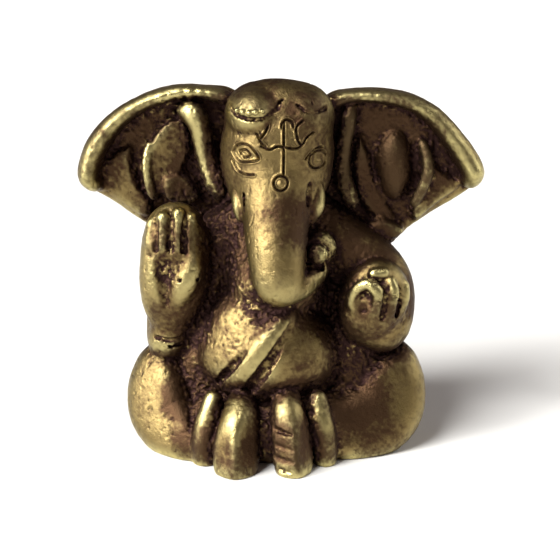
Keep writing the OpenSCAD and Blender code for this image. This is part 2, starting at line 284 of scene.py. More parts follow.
# the belly, a round lump with a flat spatula mark on each half
belly = {
    "round": (-0.1, -0.6, -3.2, 10.1, 9, 7.9),
    "top": (-1.1, -1.6, 1.8, 6.6, 5.6, 4.8),
    "rightFlat": (-5.9, -8.3, -2.1, -0.52, -0.82, 0.24),
    "leftFlat": (4.7, -9, -4.1, 0.32, -0.93, 0.16),
}
begin("belly")
egg(belly["round"], soft=1.0)
egg(belly["top"], soft=2.5)
press(belly["rightFlat"], soft=1.6)
press(belly["leftFlat"], soft=1.2)
lay(join=0.6)

# the sacred thread, a broad roll across the belly with a cut along each side of it
thread = {
    "roll": [(4, 0.5, 4.6, 1.4), (1.6, -0.9, 1.9, 1.6), (-0.7, -1, -1.4, 1.5), (-3.1, 0.3, -5, 1.2)],
    "rightCut": [
        (-1.1, -2.5, 1.4, 0.3), (-2.1, -2.1, -0.2, 0.5), (-3.4, -1.4, -2.2, 0.58), (-5.1, 0.5, -4.8, 0.5),
    ],
    "leftCut": [(5.1, -1.1, 4, 0.6), (3.6, -2.2, 1.8, 0.72), (1.7, -2.7, -1, 0.85),
                (-0.1, -2.5, -3.8, 0.95), (-1.9, -1.1, -6.6, 0.8)],
}
begin("sacred_thread")
coil(thread["roll"])
lay(join=0.9)
carve(thread["rightCut"], soft=0.2)
carve(thread["leftCut"], soft=0.2)

# folded legs, each a bent roll with its front patted flat
legs = {
    "right_leg": {
        "thigh": [(4.7, 4.4, 0.4, 6), (-1.9, 3.6, 1.4, 5.6)],
        "shin": [(-1.3, 3, 4.2, 3.6), (-3.9, 0.6, 2.6, 4.5), (-4.4, -0.8, -0.7, 4.8),
                 (-3.3, -2.4, -2.9, 4.4), (-1, -4.6, -3.7, 3.9), (0.9, -6.2, -3.4, 3)],
        "front": (-5.1, -4.9, -0.6, -0.5, -0.8, 0.3),
        "inner": (-0.5, -3.4, 1.8, 0.62, -0.5, 0.6),
    },
    "left_leg": {
        "thigh": [(-4.7, 4.4, 0.4, 6), (0.9, 3.6, 1.6, 5.8)],
        "shin": [(0.3, 3.2, 4.6, 3.7), (2.6, 0.8, 2.8, 4.9), (2.8, -0.8, -0.7, 5.1),
                 (1.3, -2.8, -2.4, 4.8), (-1.5, -4.8, -2.9, 4.3), (-3.5, -6.4, -2.9, 3.3)],
        "front": (1.3, -5.8, -0.6, 0.2, -0.93, 0.3),
        "inner": (-1.9, -2.6, 4, -0.4, -0.25, 0.88),
    },
}
for name, leg in legs.items():
    begin(name)
    coil(leg["thigh"], soft=1.5)
    coil(leg["shin"], soft=1.2)
    press(leg["front"], soft=2.4)
    press(leg["inner"], soft=1.4)
    lay(join=0.5)

# feet, patted to a crest down the front
feet = {
    "right_foot": {
        "top": [(0.1, -0.2, 3.7, 1.8), (-0.2, -2.4, 1.8, 2.3), (-0.6, -3.8, -1.2, 2.7),
                (-0.65, -4, -3.8, 2.8)],
        "sole": [(-0.4, 2.4, -0.6, 2.4), (-0.6, -2.6, -2.2, 2.2)],
        "flats": [(-1.8, -5.9, -1.6, -0.6, -0.78, 0.2), (0.5, -5.9, -1.6, 0.62, -0.76, 0.2)],
        "toes": [
            [(0.3, -6.8, -1.4, 0.14), (2.2, -5.8, -1.6, 0.22)],
            [(0.3, -6.8, -2.6, 0.14), (2.3, -5.8, -2.7, 0.22)],
            [(0.3, -6.8, -3.7, 0.14), (2.3, -5.8, -3.7, 0.22)],
        ],
    },
    "left_foot": {
        "top": [(-1, -0.2, 4.2, 1.75), (-0.7, -2.2, 2.2, 2.05), (-0.2, -3.8, -1, 2.35),
                (0, -4.1, -3.8, 2.4)],
        "sole": [(-0.6, 2.4, -0.6, 2.3), (-0.1, -2.6, -2.2, 1.9)],
        "flats": [(-1.1, -5.8, -1.6, -0.4, -0.9, 0.2), (1.1, -5.5, -1.6, 0.8, -0.58, 0.2)],
        "toes": [
            [(-2.8, -4.2, 1.6, 0.5), (-0.4, -5.3, 1.2, 0.22)],
            [(-2.9, -5, -0.3, 0.5), (-0.2, -6.1, -0.7, 0.22)],
            [(-2.9, -5.2, -2, 0.5), (-0.1, -6.5, -2.3, 0.22)],
            [(-2.9, -5.4, -3.5, 0.45), (-0.1, -6.7, -3.7, 0.2)],
        ],
    },
}
for name, foot in feet.items():
    begin(name)
    coil(foot["top"], soft=0.8)
    coil(foot["sole"], soft=0.8)
    for flat in foot["flats"]:
        press(flat, soft=0.5)
    lay(join=0.25)
    for line in foot["toes"]:
        carve(line, soft=0.15)

# the thin folds of cloth beside the feet
folds = {
    "right_fold": [
        (-0.9, 2.4, 3.8, 1.2), (-1.5, 1.7, 0.7, 1.75), (-1.9, 1.3, -2, 1.9), (-2, 1.4, -4.7, 1.7),
    ],
    "left_fold": [
        (-1.3, 1.9, 4.1, 1.1), (-0.9, 1.3, 1.1, 1.6), (-0.5, 0.9, -1.7, 1.65), (-0.3, 1, -4.7, 1.5),
    ],
}
for name, line in folds.items():
    begin(name)
    coil(line, soft=0.3, fine=4)
    lay(join=0.5)

# arms, each a roll bent at the elbow
arms = {
    "right_arm": [(4.2, 1.9, 6.1, 3.6), (-0.4, 1.1, 1.7, 3.2), (-3.6, -0.7, -3.9, 2.7),
                  (-3.8, -2.5, -7.7, 2.4), (-3.4, -3.5, -6.7, 2.2)],
    "left_arm": [(-5.3, 2.1, 6.4, 3.7), (-0.5, 1.1, 3.7, 3.6), (2.6, -0.3, 0.8, 3.5),
                 (3.3, -1.5, -2.8, 3.2), (2.5, -2.5, -5.4, 3), (0.7, -3.3, -4.8, 2.6)],
}
for name, line in arms.items():
    begin(name)
    coil(line, soft=1.0)
    lay(join=0.6)

# the raised right hand: a mitt with its palm hollowed and its fingers drawn on
rightHand = {
    "mitt": [(0.3, 1.3, 5.9, 3.85), (0.3, 0.5, 3.1, 4.4), (0.1, 0.2, -0.5, 4.45), (-0.3, 0.2, -3.8, 3.75),
             (-0.5, 0.5, -7.5, 2.4), (-0.6, 1, -9.9, 2.2)],
    "palm": (-0.1, -2.65, 1.7, 0, -1, 0.03),
    "hollow": [(-1.2, -3.7, 2.1, 1.8), (-1.1, -3.4, -0.1, 1.3), (-0.9, -3, -2.7, 0.7),
               (-0.9, -2.9, -4.1, 0.3)],
    "knuckles": [
        (-3.7, -1.7, 3.2, 0.3), (-1.3, -2.9, 3.7, 0.35), (0.9, -2.9, 3.7, 0.35), (2.9, -2.1, 3.3, 0.3),
    ],
    "wrist": [
        [(-2.7, -0.9, -8.4, 0.25), (-0.5, -1.7, -8.7, 0.3), (1.5, -1, -8.4, 0.25)],
        [(-2.7, -0.5, -9.3, 0.22), (-0.6, -1.4, -9.6, 0.25), (1.4, -0.7, -9.3, 0.22)],
    ],
}
begin("right_palm")
coil(rightHand["mitt"], soft=0.8, squeeze=(1, 1.5, 1))
press(rightHand["palm"], soft=0.8)
lay(join=0.5)
carve(rightHand["hollow"], soft=0.5)
carve(rightHand["knuckles"])
for line in rightHand["wrist"]:
    carve(line, soft=0.1)

# its thumb, and the fingers that are left standing between slots
thumb = {
    "roll": [(0.9, 1, 4.8, 1.1), (0.7, 0.6, 2.9, 1.6), (-0.1, 0.4, 0.8, 1.75), (-1.1, 0.5, -1.6, 1.3)],
    "crease": [(-1, -1.3, 1.5, 0.2), (1.7, -0.7, 1.5, 0.22)],
}
begin("right_thumb")
coil(thumb["roll"], soft=0.6)
lay(join=0.5)
carve(thumb["crease"], soft=0.1)

fingers = {
    "rolls": [
        [(-2.6, 1.1, 2.2, 0.85), (-2.8, 0.3, -0.4, 0.9)],
        [(-1.1, 0.3, 3.2, 0.95), (-1.2, -0.5, -0.4, 1)],
        [(0.9, 0.3, 3.7, 0.95), (0.8, -0.5, -0.5, 1)],
        [(2.5, 0.9, 2.9, 0.85), (2.6, 0.1, -0.6, 0.9)],
    ],
    "slots": [
        [(-2, -0.4, 2.8, 0.34), (-2.15, -1, 0.8, 0.46), (-2.2, -1.2, -0.8, 0.5)],
        [(0, -0.4, 3.8, 0.34), (-0.1, -1.1, 1.6, 0.48), (-0.2, -1.4, -0.8, 0.52)],
        [(1.85, -0.1, 3.4, 0.34), (1.7, -0.8, 1.2, 0.46), (1.6, -1.1, -1, 0.5)],
    ],
    "creases": [
        [(-1.8, -1.7, 1.4, 0.25), (-0.4, -1.8, 1.3, 0.25)],
        [(0.2, -1.7, 2, 0.25), (1.5, -1.6, 1.8, 0.25)],
        [(-3.7, -0.5, 0.6, 0.25), (-2.5, -1.1, 0.6, 0.25)],
        [(-1.8, -1.9, 0, 0.25), (-0.4, -2, -0.1, 0.25)],
        [(0.2, -1.9, 0.2, 0.25), (1.5, -1.9, 0.1, 0.25)],
    ],
}
begin("right_fingers")
for line in fingers["rolls"]:
    coil(line, soft=0.2)
lay(join=0.4)
for line in fingers["slots"]:
    carve(line, soft=0.15)
for line in fingers["creases"]:
    carve(line, soft=0.1)

# the closed left hand
leftHand = {
    "mitt": [(-0.9, 0.8, -3, 3.5), (-0.2, 0.3, -0.6, 4.2), (0.5, 0.5, 1.8, 3.9)],
    "front": (-0.8, -3, 1, -0.25, -0.92, 0.3),
}
begin("left_hand")
coil(leftHand["mitt"], soft=0.8, squeeze=(1, 1.15, 1))
press(leftHand["front"], soft=1.2)
lay(join=0.5)

# its fingers: the first makes a loop, and the others lie beside it
leftFingers = {
    "first": [
        (-2, -0.4, -2.3, 0.75), (-2.8, -0.3, -0.9, 0.75), (-2.2, -0.7, 0.9, 0.75), (-0.8, -1.3, 1.8, 0.75),
        (0.5, -1.6, 0.7, 0.8), (0.6, -1.5, -0.9, 0.8), (-0.1, -1.2, -2.3, 0.7),
    ],
    "second": [(2.3, -0.6, 1.9, 0.6), (2.7, -0.9, 0.3, 0.8), (2.1, -0.8, -2.1, 0.7)],
    "third": [(4.3, 1, 0.9, 0.6), (4.2, 0.6, -0.7, 0.7), (3.6, 0.5, -2.5, 0.6)],
    "nail": [(0.1, -0.4, 2.9, 0.8), (1.3, -0.3, 3, 0.75)],
    "slots": [
        [(-1, -2, 0.7, 0.4), (-1.15, -2, -0.3, 0.55), (-1.4, -1.6, -1.7, 0.5)],
        [(1.7, -1.8, 1.9, 0.4), (1.6, -2, -0.1, 0.5), (1.2, -1.8, -2.7, 0.45)],
        [(3.6, -0.6, 1.3, 0.35), (3.5, -0.8, -0.5, 0.45), (3, -0.6, -2.7, 0.4)],
    ],
    "creases": [
        [(-3.3, -1.3, 0.1, 0.2), (-1.7, -1.8, -0.3, 0.2)],
        [(-0.5, -2.4, -0.5, 0.2), (1.1, -2.4, -0.3, 0.2)],
        [(-0.7, -1.6, 2.3, 0.2), (1.9, -1.4, 2.4, 0.2)],
        [(2.1, -1.8, 0.1, 0.2), (3.3, -1.6, 0.2, 0.2)],
    ],
}
begin("left_fingers")
for key in ("first", "second", "third", "nail"):
    coil(leftFingers[key], soft=0.2)
lay(join=0.5)
for line in leftFingers["slots"]:
    carve(line, soft=0.15)
for line in leftFingers["creases"]:
    carve(line, soft=0.1)

# ears: a sheet with a rolled rim, and petals pressed onto it that make the folds inside
ears = {
    "right_ear": {
        "leaf": {
            "outline": [(10.9, 8.4), (8, 9.9), (5.6, 10.2), (1.3, 10.3), (-2.3, 9.5), (-6, 7.7), (-9, 5.5),
                        (-11, 2.8), (-12.1, -0.2), (-12.1, -2.4), (-11, -3.9), (-7.7, -5.9), (-3.6, -8.8),
                        (1.9, -12.1), (8.9, -11.6), (12.9, -4.6), (12.9, 3.4)],
            "front": 0.5, "thick": 2.2, "edge": 0.8,
        },
        "rim": [
            (8.1, -0.2, 8.6, 0.8), (5.6, -0.2, 9.4, 0.8), (1.5, -0.2, 9.5, 0.8), (-2.1, -0.2, 8.6, 0.9),
            (-5.6, -0.2, 6.8, 1.05), (-8.1, -0.2, 4.6, 1.2), (-9.8, -0.2, 2.2, 1.35),
            (-10.8, -0.2, -0.4, 1.35), (-11, -0.4, -2, 1.2), (-10.1, 0.2, -3, 1),
        ],
        "petals": [
            {
                "outline": [(2, 6), (-0.3, 5.3), (-2.4, 2.6), (-3.1, -1.2), (-2.4, -4.8), (-1, -4),
                            (1.5, -1), (2.7, 2.6)],
                "front": -1, "thick": 2.6, "edge": 0.45, "lean": (0.15, 0.03),
            },
            {
                "outline": [(-5.4, 1.8), (-7.5, 1), (-9.5, -1.2), (-10.3, -2.6), (-7.5, -4.9),
                            (-3.7, -7.4), (-2.7, -6), (-4.4, -3.2), (-5.3, -0.8)],
                "front": -0.35, "thick": 2.2, "edge": 0.7, "lean": (-0.08, 0),
            },
            {
                "outline": [(-0.5, -2), (1.9, -1.7), (3.5, -3.2), (3.7, -5), (1.5, -5.6), (-0.5, -4.4)],
                "front": -1.5, "thick": 3.2, "edge": 0.5, "lean": (0.2, 0.1),
            },
        ],
        "bulge": (5.9, 0.3, -0.2, 1.6, 1.4, 3),
        "fold": [(-2.7, -0.8, 2.6, 0.4), (-3.1, -1.2, 0, 0.5), (-2.8, -1.3, -2.6, 0.55),
                 (-2.3, -1.1, -4.4, 0.5)],
        "ridge": [
            (2.1, -0.5, 7.1, 0.9), (3.3, -1.2, 6.8, 1.2), (4.3, -1.5, 5, 1.2), (4.7, -1.5, 2.4, 1.05),
            (5.3, -1.7, 0.2, 1.05), (6.1, -2, -1.8, 1.2), (6.7, -2.3, -3.6, 1),
        ],
    },
    "left_ear": {
        "leaf": {
            "outline": [
                (-11, 8.5), (-8.3, 10.2), (-6.5, 10.7), (-2.9, 10.9), (0.8, 10.6), (3.8, 9.7), (6.5, 8),
                (9.1, 5.2), (11.4, 2.2), (12.4, 0), (12.1, -1.8), (9.9, -3.6), (6.3, -5.9), (2.6, -8.5),
                (-0.2, -11.1), (-5, -13), (-10, -10.5), (-13, -3.5), (-13, 4.5),
            ],
            "front": 0.5, "thick": 2.2, "edge": 0.8,
        },
        "rim": [
            (-8.4, -0.2, 9.1, 0.8), (-6.2, -0.2, 9.9, 0.75), (-3, -0.2, 10.1, 0.75),
            (0.5, -0.2, 9.7, 0.85), (3.3, -0.2, 8.8, 0.95), (5.7, -0.2, 7.2, 1.15), (8, -0.2, 4.6, 1.35),
            (10.1, -0.2, 1.7, 1.45), (11.1, -0.7, -0.1, 1.3), (10.8, -0.1, -1.3, 1.1),
        ],
        "petals": [
            {
                "outline": [(-4.2, 4.3), (-3.2, 2.1), (-2.4, -0.9), (-0.7, -4.3), (0.6, -6.7),
                            (-2.6, -5.9), (-4.4, -2.7), (-4.8, 0.9)],
                "front": -0.5, "thick": 2, "edge": 0.5, "lean": (0.1, 0.03),
            },
            {
                "outline": [(4, 4.1), (5.4, 2.9), (5.8, 0.7), (7.8, -0.9), (9.4, -2.1), (6.2, -4.6),
                            (3.6, -6.7), (3.2, -4.9), (4.4, -2.3), (3.9, 0.7)],
                "front": -0.7, "thick": 2.4, "edge": 0.4, "lean": (0.12, 0.02),
            },
            {
                "outline": [(-2.8, -7.1), (-1, -6.7), (1.4, -7.6), (1.6, -8.7), (-0.6, -9.8),
                            (-2.6, -8.9)],
                "front": -1.7, "thick": 3, "edge": 0.8, "lean": (0, 0.1),
            },
        ],
        "bulge": (0.35, 0.8, 0.5, 2.6, 2.3, 4.9),
        "fold": [(4.2, -0.7, 3.7, 0.5), (4.8, -1.2, 1.9, 0.65), (4.9, -1.4, -0.3, 0.65),
                 (4.1, -1.2, -2.7, 0.6), (3.2, -0.9, -4.5, 0.5)],
        "ridge": [(-5.6, -0.5, 8.3, 0.7), (-6, -0.7, 6.1, 0.8), (-6.5, -0.8, 3.3, 0.8),
                  (-6.6, -1, 0.1, 0.8), (-6, -1.2, -2.5, 0.9), (-5.2, -1.3, -4.3, 0.7)],
    },
}
for name, ear in ears.items():
    begin(name)
    sheet(ear["leaf"])
    coil(ear["rim"], soft=0.6, squeeze=(1, 0.62, 1))
    for petal in ear["petals"]:
        sheet(petal, soft=1.1)
    egg(ear["bulge"], soft=0.6)
    coil(ear["fold"], soft=0.5)
    coil(ear["ridge"], soft=0.8)
    lay(join=0.4)

# the head, patted flat across the brow and at both temples
head = {
    "face": [(-0.35, -1.4, 3.7, 6.8), (-0.4, -1.8, 2.1, 6.85), (-0.45, -2.3, -0.3, 6.3),
             (-0.5, -3.4, -2.5, 5)],
    "back": [(-0.2, 2.4, 4.1, 5.6), (-0.2, 2.6, -0.3, 5.6), (0, 2.2, -4.3, 4.6)],
    "cheeks": [
        [(-3.4, -2.4, -0.5, 3.4), (-3.4, -2.9, -1.9, 2.5)],
        [(2.6, -2.4, -0.5, 3.4), (2.6, -2.9, -2.3, 2.5)],
    ],
    "crown": [(-3.4, -1, 7.5, 3.7), (0, -1.3, 7.6, 3.75), (3.3, -1, 7.2, 3.65)],
    "brow": (0, -7.7, 3.7, 0, -1, 0.12),
    "rightTemple": (-5.6, -5.6, 3.7, -0.75, -0.66, 0),
    "leftTemple": (4.9, -5.6, 3.7, 0.75, -0.66, 0),
}
begin("head")
coil(head["face"], soft=1.5, squeeze=(1, 1.12, 1))
coil(head["back"], soft=2.0)
for line in head["cheeks"]:
    coil(line, soft=1.2)
coil(head["crown"], soft=1.5)
press(head["brow"], soft=1.4)
press(head["rightTemple"], soft=1.6)
press(head["leftTemple"], soft=1.6)
lay(join=0.4)

# the trunk, with a web of wax behind it
trunk = {
    "roll": [(-0.05, 1.9, 4.1, 4.35), (-0.1, 0.5, 1.3, 4.2), (-0.15, -1.6, -1.9, 3.7), (0, -3, -4.6, 3.35),
             (0.2, -3.8, -6.9, 3), (0.5, -4.1, -8.1, 2.8)],
    "web": [(-0.1, 2.4, 0.1, 3.2), (0, 0.4, -3.9, 2.8), (0.4, -1, -7.3, 2.6)],
}
begin("trunk")
coil(trunk["roll"], soft=1.0)
coil(trunk["web"], soft=1.0)
lay(join=1.4, shy=0.7)

# the tip of the trunk curls round and holds a small sweet
trunkTip = {
    "curl": [(-1.7, 0.6, -3.3, 2.3), (-0.2, 1.4, -3.3, 1.8), (1.4, 2.8, -2.9, 1.3), (2.8, 4.4, -2.2, 1.1)],
    "palm": [(2.2, 5.6, 0.4, 2.7)],
    "ring": (2.4, 3, 0.5),
    "ringAcross": 1.85,
    "ringCut": 0.55,
    "sweet": [(2.4, 2.8, 0.5, 1.35)],
}
begin("trunk_tip")
coil(trunkTip["curl"], soft=0.6)
coil(trunkTip["palm"], soft=0.5)
lay(join=0.4)
ringX, ringY, ringZ = trunkTip["ring"]
across, cut = trunkTip["ringAcross"], trunkTip["ringCut"]
turns = [math.radians(a) for a in range(0, 361, 30)]
carve([(ringX + across * math.cos(a), ringY, ringZ + across * math.sin(a), cut) for a in turns])
coil(trunkTip["sweet"], soft=0.3)
lay(join=0.1)

# stub tusks, each with the cut that frees its root from the trunk
tusks = {
    "right_tusk": {
        "roll": [(-1.1, 1.4, 1.1, 0.9), (-0.9, 0.6, -0.5, 1), (-0.7, 0.3, -1.9, 0.7)],
        "root": [(-0.1, -0.6, 1.3, 0.45), (0, -1, -0.7, 0.4)],
    },
    "left_tusk": {
        "roll": [(0.6, 1.4, 1.7, 0.9), (0.3, 0.6, -0.3, 1.2), (-0.2, 0.2, -1.9, 0.8)],
        "root": [(-0.3, -0.8, 2.7, 0.45), (-0.4, -1.1, 1.5, 0.6), (-0.6, -1.2, 0.1, 0.45)],
    },
}
for name, tusk in tusks.items():
    begin(name)
    coil(tusk["roll"], soft=0.3)
    lay(join=0.25)
    carve(tusk["root"])

# the two domes of the brow, the right one standing out over it
domes = {
    "right_temple_dome": {
        "ball": (-0.4, -0.9, -0.2, 4, 5.8, 3.85),
        "join": 0.3,
        "beads": [(-2.8, -5.6, 0.8, 0.36), (-2, -6.2, 0.7, 0.38), (-1.2, -6.6, 0.7, 0.36),
                  (-0.4, -6.7, 0.8, 0.38), (0.5, -6.5, 0.9, 0.34)],
        "under": [
            (-3.9, -3.2, 1.2, 0.25), (-2.7, -5.5, 0.2, 0.26), (-0.7, -6.5, -0.2, 0.28),
            (0.9, -6.3, 0, 0.24), (2.1, -5.4, 0.8, 0.22), (3.1, -3.8, 2.1, 0.2), (3.4, -1.8, 3.3, 0.16),
        ],
        "split": [(-1.7, -6.6, 0.4, 0.1), (-1.5, -6.2, 1.6, 0.14), (-1.3, -5.1, 2.8, 0.1)],
    },
    "left_temple_dome": {
        "ball": (-0.2, -0.4, -0.9, 3.5, 4.9, 3.9),
        "join": 1,
        "beads": [],
        "under": [(-2.2, -3.4, 2.1, 0.14), (-1, -4.6, 1.1, 0.18), (0.8, -4.9, 0.4, 0.2),
                  (2.6, -2.8, 0.7, 0.24)],
        "split": [(-0.8, -2.3, 2.8, 0.14), (0.8, -4.1, 1.4, 0.14)],
    },
}
for name, dome in domes.items():
    begin(name)
    egg(dome["ball"], soft=0.5)
    for bead in dome["beads"]:
        coil([bead], soft=0.2)
    lay(join=dome["join"])
    carve(dome["under"])
    carve(dome["split"], soft=0.05)

# where scraps of wax were pushed in and never smoothed: place, radius and how rough
rough = {
    "belly": [(-1, -6.9, 5, 4, 0.5), (-5.1, -7.2, -0.2, 2.6, 0.22), (-2.1, -8.8, -7.2, 2.4, 0.3)],
    "torso": [(-8.4, -1.6, 12, 5, 0.5), (-7, -3.1, 6, 4.5, 0.5), (-10, -4.1, -1, 3.4, 0.6),
              (9.4, -4.1, -5, 4.6, 0.5), (6.4, -4.1, 3.5, 4, 0.5), (-2, -9.6, -11.4, 3.2, 0.5),
              (4, -9.6, -10.8, 3.2, 0.5), (-10, -6.1, -8.5, 3.6, 0.5)],
    "right_ear": [(5.3, -0.5, -2.6, 4.6, 0.35)],
    "left_ear": [(-6, -1.1, -3.5, 4, 0.3)],
    "right_palm": [(-1, -2.9, 1.1, 2.6, 0.42), (-0.1, -2.5, 2.9, 2.6, 0.3)],
    # the left leg's spot also lays soot where the lamps light the leg: painted shade
    "left_leg": [(-0.9, -2.6, 5, 3.6, 0.55)],
    "trunk_tip": [(4.2, 4.2, 1.2, 3.6, 0.4)],
}

# spots of painted shade, browned to darken where the lamps leave the brass too bright: place, radius and
# how brown
paintedShade = {
    "left_ear": [(-1, -1.1, 1.5, 11, 0.5)],
    "right_ear": [(-0.5, -1.1, 0.4, 7, 0.08), (-6.6, -1.7, 6.4, 7, 0.25), (-10.7, -1.7, -0.2, 5, 0.2)],
    "left_leg": [(-1.7, -5.6, 1.4, 6, 0.5), (1.3, -4.6, -3.6, 5, 0.35), (0.3, -0.6, 4.4, 4, 0.6)],
    "right_leg": [(-0.7, -4.6, 1.4, 4.6, 0.7), (-0.7, -6.6, -4, 3, 0.5)],
    "left_foot": [(-0.2, -4.6, -0.2, 4.6, 0.42)],
    "right_foot": [(-0.2, -5.2, -2.2, 4.4, 0.35)],
    "right_fold": [(-1.6, -0.2, -1.9, 3.6, 0.4)],
    "left_fold": [(0.2, -0.2, -1.9, 3, 0.4)],
    "trunk": [(1.2, -2.6, -0.5, 5.2, 0.4)],
    "right_temple_dome": [(-0.3, -2.2, 3.4, 5, 0.3)],
    "left_temple_dome": [(0.2, -4.2, 0.8, 4, 0.35)],
    "head": [(4.6, -6, 4.3, 4, 0.2)],
    "belly": [(5.7, -8.4, -4.6, 4.4, 0.2)],
    "left_arm": [(0.5, -1.1, 5.8, 5, 0.35), (5.5, -1.1, -1.2, 4.6, 0.5)],
    "right_arm": [(-3.4, -5.3, -3.3, 4, 0.25)],
    "right_palm": [(-0.1, -2.7, 5.3, 4.6, 0.3)],
    "left_hand": [(0.4, -2.4, -1.4, 4.4, 0.35), (2.2, 0, -5.4, 3, 0.3)],
}

# the filed underside
wax[:] = np.maximum(wax, -ticks[2][None, None, :])
print("wax laid", wax.shape, "sections", len(sections))

cornersOfCell = [(dx, dy, dz) for dx in (0, 1) for dy in (0, 1) for dz in (0, 1)]


# each corner of a cell, with its weight for spots that lie a given share of the way across the cell
def cornerWeights(share):
    for dx, dy, dz in cornersOfCell:
        weight = ((share[:, 0] if dx else 1 - share[:, 0]) * (share[:, 1] if dy else 1 - share[:, 1])
                  * (share[:, 2] if dz else 1 - share[:, 2]))
        yield dx, dy, dz, weight


# reads a field at any places, between the grid's points
def readField(field, places):
    cell = (places - gridLow) / clay["step"]
    cell = np.clip(cell, 0, np.array(field.shape) - 1.001)     # just inside the last cell
    base = np.floor(cell).astype(np.int64)
    out = np.zeros(len(places), np.float32)
    for dx, dy, dz, weight in cornerWeights((cell - base).astype(np.float32)):
        out += weight * field[base[:, 0] + dx, base[:, 1] + dy, base[:, 2] + dz]
    return out


# cells with more than one section at their corners hold a point of the skin, or of a seam inside it
part = np.where(wax < 0, owner, 0).astype(np.int8)
sizeX, sizeY, sizeZ = part.shape
atCorner = [part[dx:sizeX - 1 + dx, dy:sizeY - 1 + dy, dz:sizeZ - 1 + dz] for dx, dy, dz in cornersOfCell]
lowest, highest = atCorner[0].copy(), atCorner[0].copy()
for values in atCorner[1:]:
    np.minimum(lowest, values, out=lowest)
    np.maximum(highest, values, out=highest)
cells = np.argwhere(lowest != highest)
cellNumber = np.full(lowest.shape, -1, np.int32)
cellNumber[tuple(cells.T)] = np.arange(len(cells))

# the point lies at the mean of where the cell's edges cross the skin
depths = [wax[cells[:, 0] + dx, cells[:, 1] + dy, cells[:, 2] + dz] for dx, dy, dz in cornersOfCell]
total, hits = np.zeros((len(cells), 3)), np.zeros(len(cells))
for a in range(8):
    for b in range(a + 1, 8):
        span = np.subtract(cornersOfCell[b], cornersOfCell[a])
        if abs(span).sum() != 1:
            continue
        crossed = (depths[a] < 0) != (depths[b] < 0)
        share = depths[a] / np.where(crossed, depths[a] - depths[b], 1)
        total += crossed[:, None] * (np.array(cornersOfCell[a]) + share[:, None] * span)
        hits += crossed
onSkin = hits > 0
within = np.where(onSkin[:, None], total / np.maximum(hits, 1)[:, None], 0.5)
places = gridLow + clay["step"] * (cells + within)

# one face across every grid edge that joins two sections, or a section and the air
rings, ringPart, ringOutside = [], [], []
for axis in range(3):
    u, v = (axis + 1) % 3, (axis + 2) % 3
    here, there = [slice(1, -1)] * 3, [slice(1, -1)] * 3
    here[axis], there[axis] = slice(0, -1), slice(1, None)
    a, b = part[tuple(here)], part[tuple(there)]
    edges = np.argwhere(a != b)
    one, two = a[tuple(edges.T)], b[tuple(edges.T)]
    edges[:, u] += 1
    edges[:, v] += 1
    around = []
    for du, dv in ((-1, -1), (0, -1), (0, 0), (-1, 0)):
        spot = edges.copy()
        spot[:, u] += du
        spot[:, v] += dv
        around.append(cellNumber[tuple(spot.T)])
    around = np.stack(around, axis=1)
    for mine, other, ring in ((one, two, around), (two, one, around[:, ::-1])):
        kept = mine > 0
        rings.append(ring[kept])
        ringPart.append(mine[kept])
        ringOutside.append(other[kept] == 0)
rings, ringPart, ringOutside = np.concatenate(rings), np.concatenate(ringPart), np.concatenate(ringOutside)


def slope(field, points):
    out = np.zeros((len(points), 3))
    for i in range(3):
        shift = np.zeros(3)
        shift[i] = clay["step"]
        out[:, i] = readField(field, points + shift) - readField(field, points - shift)
    return out / (2 * clay["step"])


# a few moves onto the true surface
skin = places[onSkin]
for n in range(clay["settles"]):
    grade = slope(wax, skin)
    steep = np.maximum((grade ** 2).sum(axis=1), clay["gentlest"])
    far = np.clip(readField(wax, skin) / steep, -clay["settleMost"], clay["settleMost"])
    move = far[:, None] * grade
    move[skin[:, 2] < clay["flatBelow"]] = 0
    skin = skin - move
places[onSkin] = skin
places[:, 2] = np.maximum(places[:, 2], 0)
print("skin", len(places), "points,", len(rings), "faces")


def normalsOf(points, faces):
    p = points[faces]
    flat = np.cross(p[:, 2] - p[:, 0], p[:, 3] - p[:, 1])
    flat /= np.maximum(np.linalg.norm(flat, axis=1), 1e-9)[:, None]
    out = np.zeros((len(points), 3))
    for k in range(4):
        for i in range(3):
            out[:, i] += np.bincount(faces[:, k], flat[:, i], len(points))
    return out / np.maximum(np.linalg.norm(out, axis=1), 1e-9)[:, None]


# smooth noise from -1 to 1 with grains of a given size in millimetres, from a seeded block of random
# numbers that repeats
def grain(points, size, seed):
    side = 48
    block = np.random.default_rng(seed).random((side, side, side)).astype(np.float32)
    spot = points / size
    base = np.floor(spot).astype(np.int64)
    share = spot - base
    out = np.zeros(len(points))
    for dx, dy, dz, weight in cornerWeights(share * share * (3 - 2 * share)):
        out += weight * block[(base[:, 0] + dx) % side, (base[:, 1] + dy) % side, (base[:, 2] + dz) % side]
    return out * 2 - 1


# the share of metal in a window round each grid point, averaged twice along each axis
def crowding(width):
    reach = max(1, int(round(width / clay["step"] / 2)))
    out = (wax < 0).astype(np.float32)
    for axis in (0, 1, 2, 0, 1, 2):
        total = np.insert(np.cumsum(out, axis=axis, dtype=np.float32), 0, 0, axis=axis)
        count = out.shape[axis]
        high = np.minimum(np.arange(count) + reach + 1, count)
        low = np.maximum(np.arange(count) - reach, 0)
        out = (np.take(total, high, axis=axis) - np.take(total, low, axis=axis)) / (2 * reach + 1)
    return out


# What the years have done, read from the shape; in the wide pockets it is partly painted shade. Each kind
# of hollow is told by the metal in a window this wide, placed this far out from the skin: there is none
# over a round, and more down in a crease.
wear = {
    "creased": {"window": 0.9, "out": 0.45, "from": 0.17, "span": 0.22},     # where two sections meet
    "hollowed": {"window": 2.6, "out": 1.8, "from": 0.08, "span": 0.3},      # between the limbs
    # the wide pockets: partly patina, partly painted shade, darker where shade falls under the head and
    # the ears
    "pocketPatinaAndShade": {"window": 6.0, "out": 3.4, "from": 0.06, "span": 0.24},     # under the head and the ears
    "rubbed": {"window": 2.4, "most": 0.46, "span": 0.2},                    # what stands out is rubbed
    "shares": (0.8, 0.5, 0.28),    # how much grain and soot each kind of hollow holds
    "fade": 1.4,                   # how full the middle of a spot is before it fades to its edge
}


